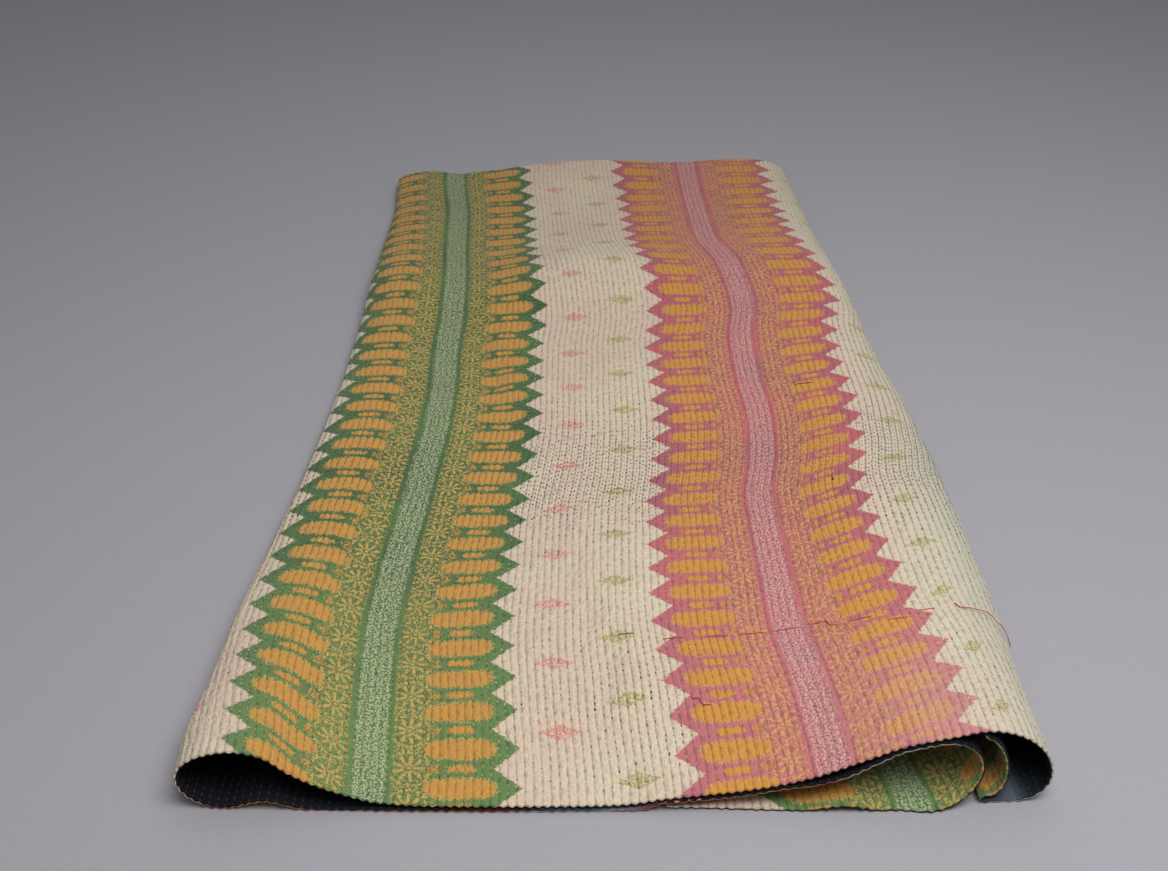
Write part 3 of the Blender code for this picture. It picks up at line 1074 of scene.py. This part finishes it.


# Dark cotton backing, vat dyed in lengthwise bands: nearly black, with teal, grey and maroon; the teal and
# grey bands from 88 to 114 mm are also painted darker, as painted shade inside the right loop.
# Place across the open sheet in millimetres, colour.
backBands = (
    (0, "#14141d"),
    # the bands from 88 to 114 mm are dyed teal and grey, and painted darker as painted shade where they
    # lie inside the right loop
    (88, "#1d2c3a"),
    (104, "#3c4450"),
    (114, "#59616c"),
    (126, "#18242e"),
    (150, "#101018"),
    (620, "#0f0f16"),
    (900, "#0e0e15"),
    (1040, "#14161f"),
    (1140, "#15131a"),
    (1170, "#43141f"),
    (1196, "#35121b"),
    (1216, "#23404a"),
    (1250, "#2f5560"),
    (1268, "#8b8c98"),
    (1285, "#6f6877"),
    (1302, "#54222c"),
    (1335, "#2a1219"),
    (1400, "#121219"),
    (1857, "#14141d"),
)


def darkCotton():
    material, tree, shader, add = newMaterial("darkCotton", 0.9, 0.2)
    cloth = mapField(tree, "sheet")
    fray = threadNoise(tree, cloth, 2.5, 30, 3.0, 0.6)
    across = add("SeparateXYZ", cloth, output=0)
    across = add("Math", fray, 10.0, across, operation="MULTIPLY_ADD")
    wide = backBands[-1][0]
    share = add("Math", across, wide, operation="DIVIDE")
    ramp = tree.nodes.new("ShaderNodeValToRGB")
    stops = ramp.color_ramp.elements
    stops.remove(stops[0])
    stops[0].position = 1.0
    stops[0].color = hexColour(backBands[-1][1])
    for place, colour in backBands[:-1]:
        stops.new(place / wide).color = hexColour(colour)
    tree.links.new(share, ramp.inputs[0])
    # dashes of worn thread where the rows of stitches come through
    rowField = mapField(tree, "rows", (stitching["rowPitch"], stitching["period"]))
    dashes = []
    for output, limit in ((0, 0.07), (1, 0.25)):
        fromStitch = add("SeparateXYZ", rowField, output=output)
        fromStitch = add("Math", fromStitch, 0.5, operation="PINGPONG")
        dashes.append(belowMask(tree, fromStitch, limit, 0.03))
    onDash = add("Math", *dashes, operation="MULTIPLY")
    onDash = add("Math", onDash, 0.14, operation="MULTIPLY")
    stitched = add("MixRGB", onDash, ramp.outputs[0], hexColour("#8a8578"))
    tree.links.new(stitched, shader.inputs["Base Color"])
    puckers = add("TexNoise", rowField, None, 1.1, 3.0, 0.6)
    bump = add("Bump", 0.8, 0.0016, None, puckers)
    tree.links.new(bump, shader.inputs["Normal"])
    return material


# Cotton thread, hand spun and dyed: matt, from worn cream to navy, and ochre to brown where it
# has taken up the dye of a printed band
def stitchThread():
    material, tree, shader, add = newMaterial("stitchThread", 0.85)
    dyed = add("Attribute", attribute_name="dyed", output=2)
    printed = add("Attribute", attribute_name="printed", output=2)
    worn = add("MixRGB", printed, hexColour("#cdbfa4"), hexColour("#b0904f"))
    navy = add("MixRGB", printed, hexColour("#1b1f36"), hexColour("#7d6b45"))
    colour = add("MixRGB", dyed, worn, navy)
    tree.links.new(colour, shader.inputs["Base Color"])
    return material


# Matt, with a fine fleck: mending thread and studio paper
def plainMaterial(name, colour, roughness):
    material, tree, shader, add = newMaterial(name, roughness)
    field = add("TexCoord", output=3)
    fleck = add("TexNoise", field, None, 900.0, 2.0, 0.5)
    shade = add("MapRange", fleck, 0.3, 0.7, 0.94, 1.06)
    shade = add("CombineXYZ", shade, shade, shade)
    tinted = add("VectorMath", shade, hexColour(colour)[:3], operation="MULTIPLY")
    tree.links.new(tinted, shader.inputs["Base Color"])
    return material


print("dyeing the cloth")
printed = printedCotton()
dark = darkCotton()
faceCloth.data.materials.append(printed)
backCloth.data.materials.append(dark)
for piece in hems:
    piece.data.materials.append(printed)
    piece.data.materials.append(dark)
runningStitchesPiece.data.materials.append(stitchThread())
threadDyes = {"red": "#b5382f", "navy": "#23283f", "brown": "#6b4a33"}
for dye, colour in threadDyes.items():
    mendingPieces[dye].data.materials.append(plainMaterial(dye + "Cotton", colour, 0.8))


# Studio: one wide floor, soft boxes overhead and a little even light all round
studio = {
    "floorWidth": 9.0,
    "floorDepth": 9.0,
    "floorColour": "#9b9aa1",
    "skyColour": "#f3f4f8",
    "skyStrength": 0.22,
    # soft boxes: place, what they point at, size, power, colour
    "frontBox": ((0.45, -0.95, 1.75), (0.0, -0.25, 0), (1.5, 1.1), 35, "#fffdfa"),
    "overheadBox": ((0.15, 0.45, 2.3), (0, 0.2, 0), (2.0, 1.6), 10, "#fbfaf8"),
    "lens": 43.15,
    "across": -0.0349,       # camera place: across, back from the near hem, height
    "back": 0.7645,
    "height": 0.8639,
    "down": 33.44,           # degrees that the camera looks down, and turns to the right
    "turned": 0.65,
}


def buildFloor():
    work = bmesh.new()
    bmesh.ops.create_grid(work, x_segments=1, y_segments=1, size=0.5)
    bmesh.ops.scale(work, verts=work.verts, vec=(studio["floorWidth"], studio["floorDepth"], 1))
    bmesh.ops.translate(work, verts=work.verts, vec=(0, 1.0, -0.0002))
    mesh = bpy.data.meshes.new("studioFloor")
    work.to_mesh(mesh)
    work.free()
    floor = bpy.data.objects.new("studioFloor", mesh)
    bpy.context.scene.collection.objects.link(floor)
    floor.data.materials.append(plainMaterial("studioPaper", studio["floorColour"], 0.75))


def softBox(name, place, target, size, power, colour):
    data = bpy.data.lights.new(name, "AREA")
    data.shape = "RECTANGLE"
    data.size, data.size_y = size
    data.energy = power
    data.color = hexColour(colour)[:3]
    light = bpy.data.objects.new(name, data)
    bpy.context.scene.collection.objects.link(light)
    light.location = place
    aim = Vector(target) - Vector(place)
    light.rotation_euler = aim.to_track_quat("-Z", "Y").to_euler()


def buildCamera():
    nearHem = -sheet["length"] / 2 * 0.001
    data = bpy.data.cameras.new("studioCamera")
    data.lens = studio["lens"]
    data.sensor_width = 36.0
    camera = bpy.data.objects.new("studioCamera", data)
    bpy.context.scene.collection.objects.link(camera)
    camera.location = (studio["across"], nearHem - studio["back"], studio["height"])
    camera.rotation_euler = (math.radians(90 - studio["down"]), 0, math.radians(-studio["turned"]))
    bpy.context.scene.camera = camera


def buildSky():
    world = bpy.data.worlds.new("studioLight")
    world.use_nodes = True
    backdrop = world.node_tree.nodes["Background"]
    backdrop.inputs["Color"].default_value = hexColour(studio["skyColour"])
    backdrop.inputs["Strength"].default_value = studio["skyStrength"]
    bpy.context.scene.world = world


print("setting up the studio")
buildFloor()
for name in ("frontBox", "overheadBox"):
    softBox(name, *studio[name])
buildSky()
buildCamera()
bpy.context.scene.view_settings.view_transform = "Standard"

threads = [runningStitchesPiece, *mendingPieces.values()]
quiltPieces = [faceCloth, backCloth, *hems, *threads]
for piece in quiltPieces:
    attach(piece, "root")
    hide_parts("quilt")
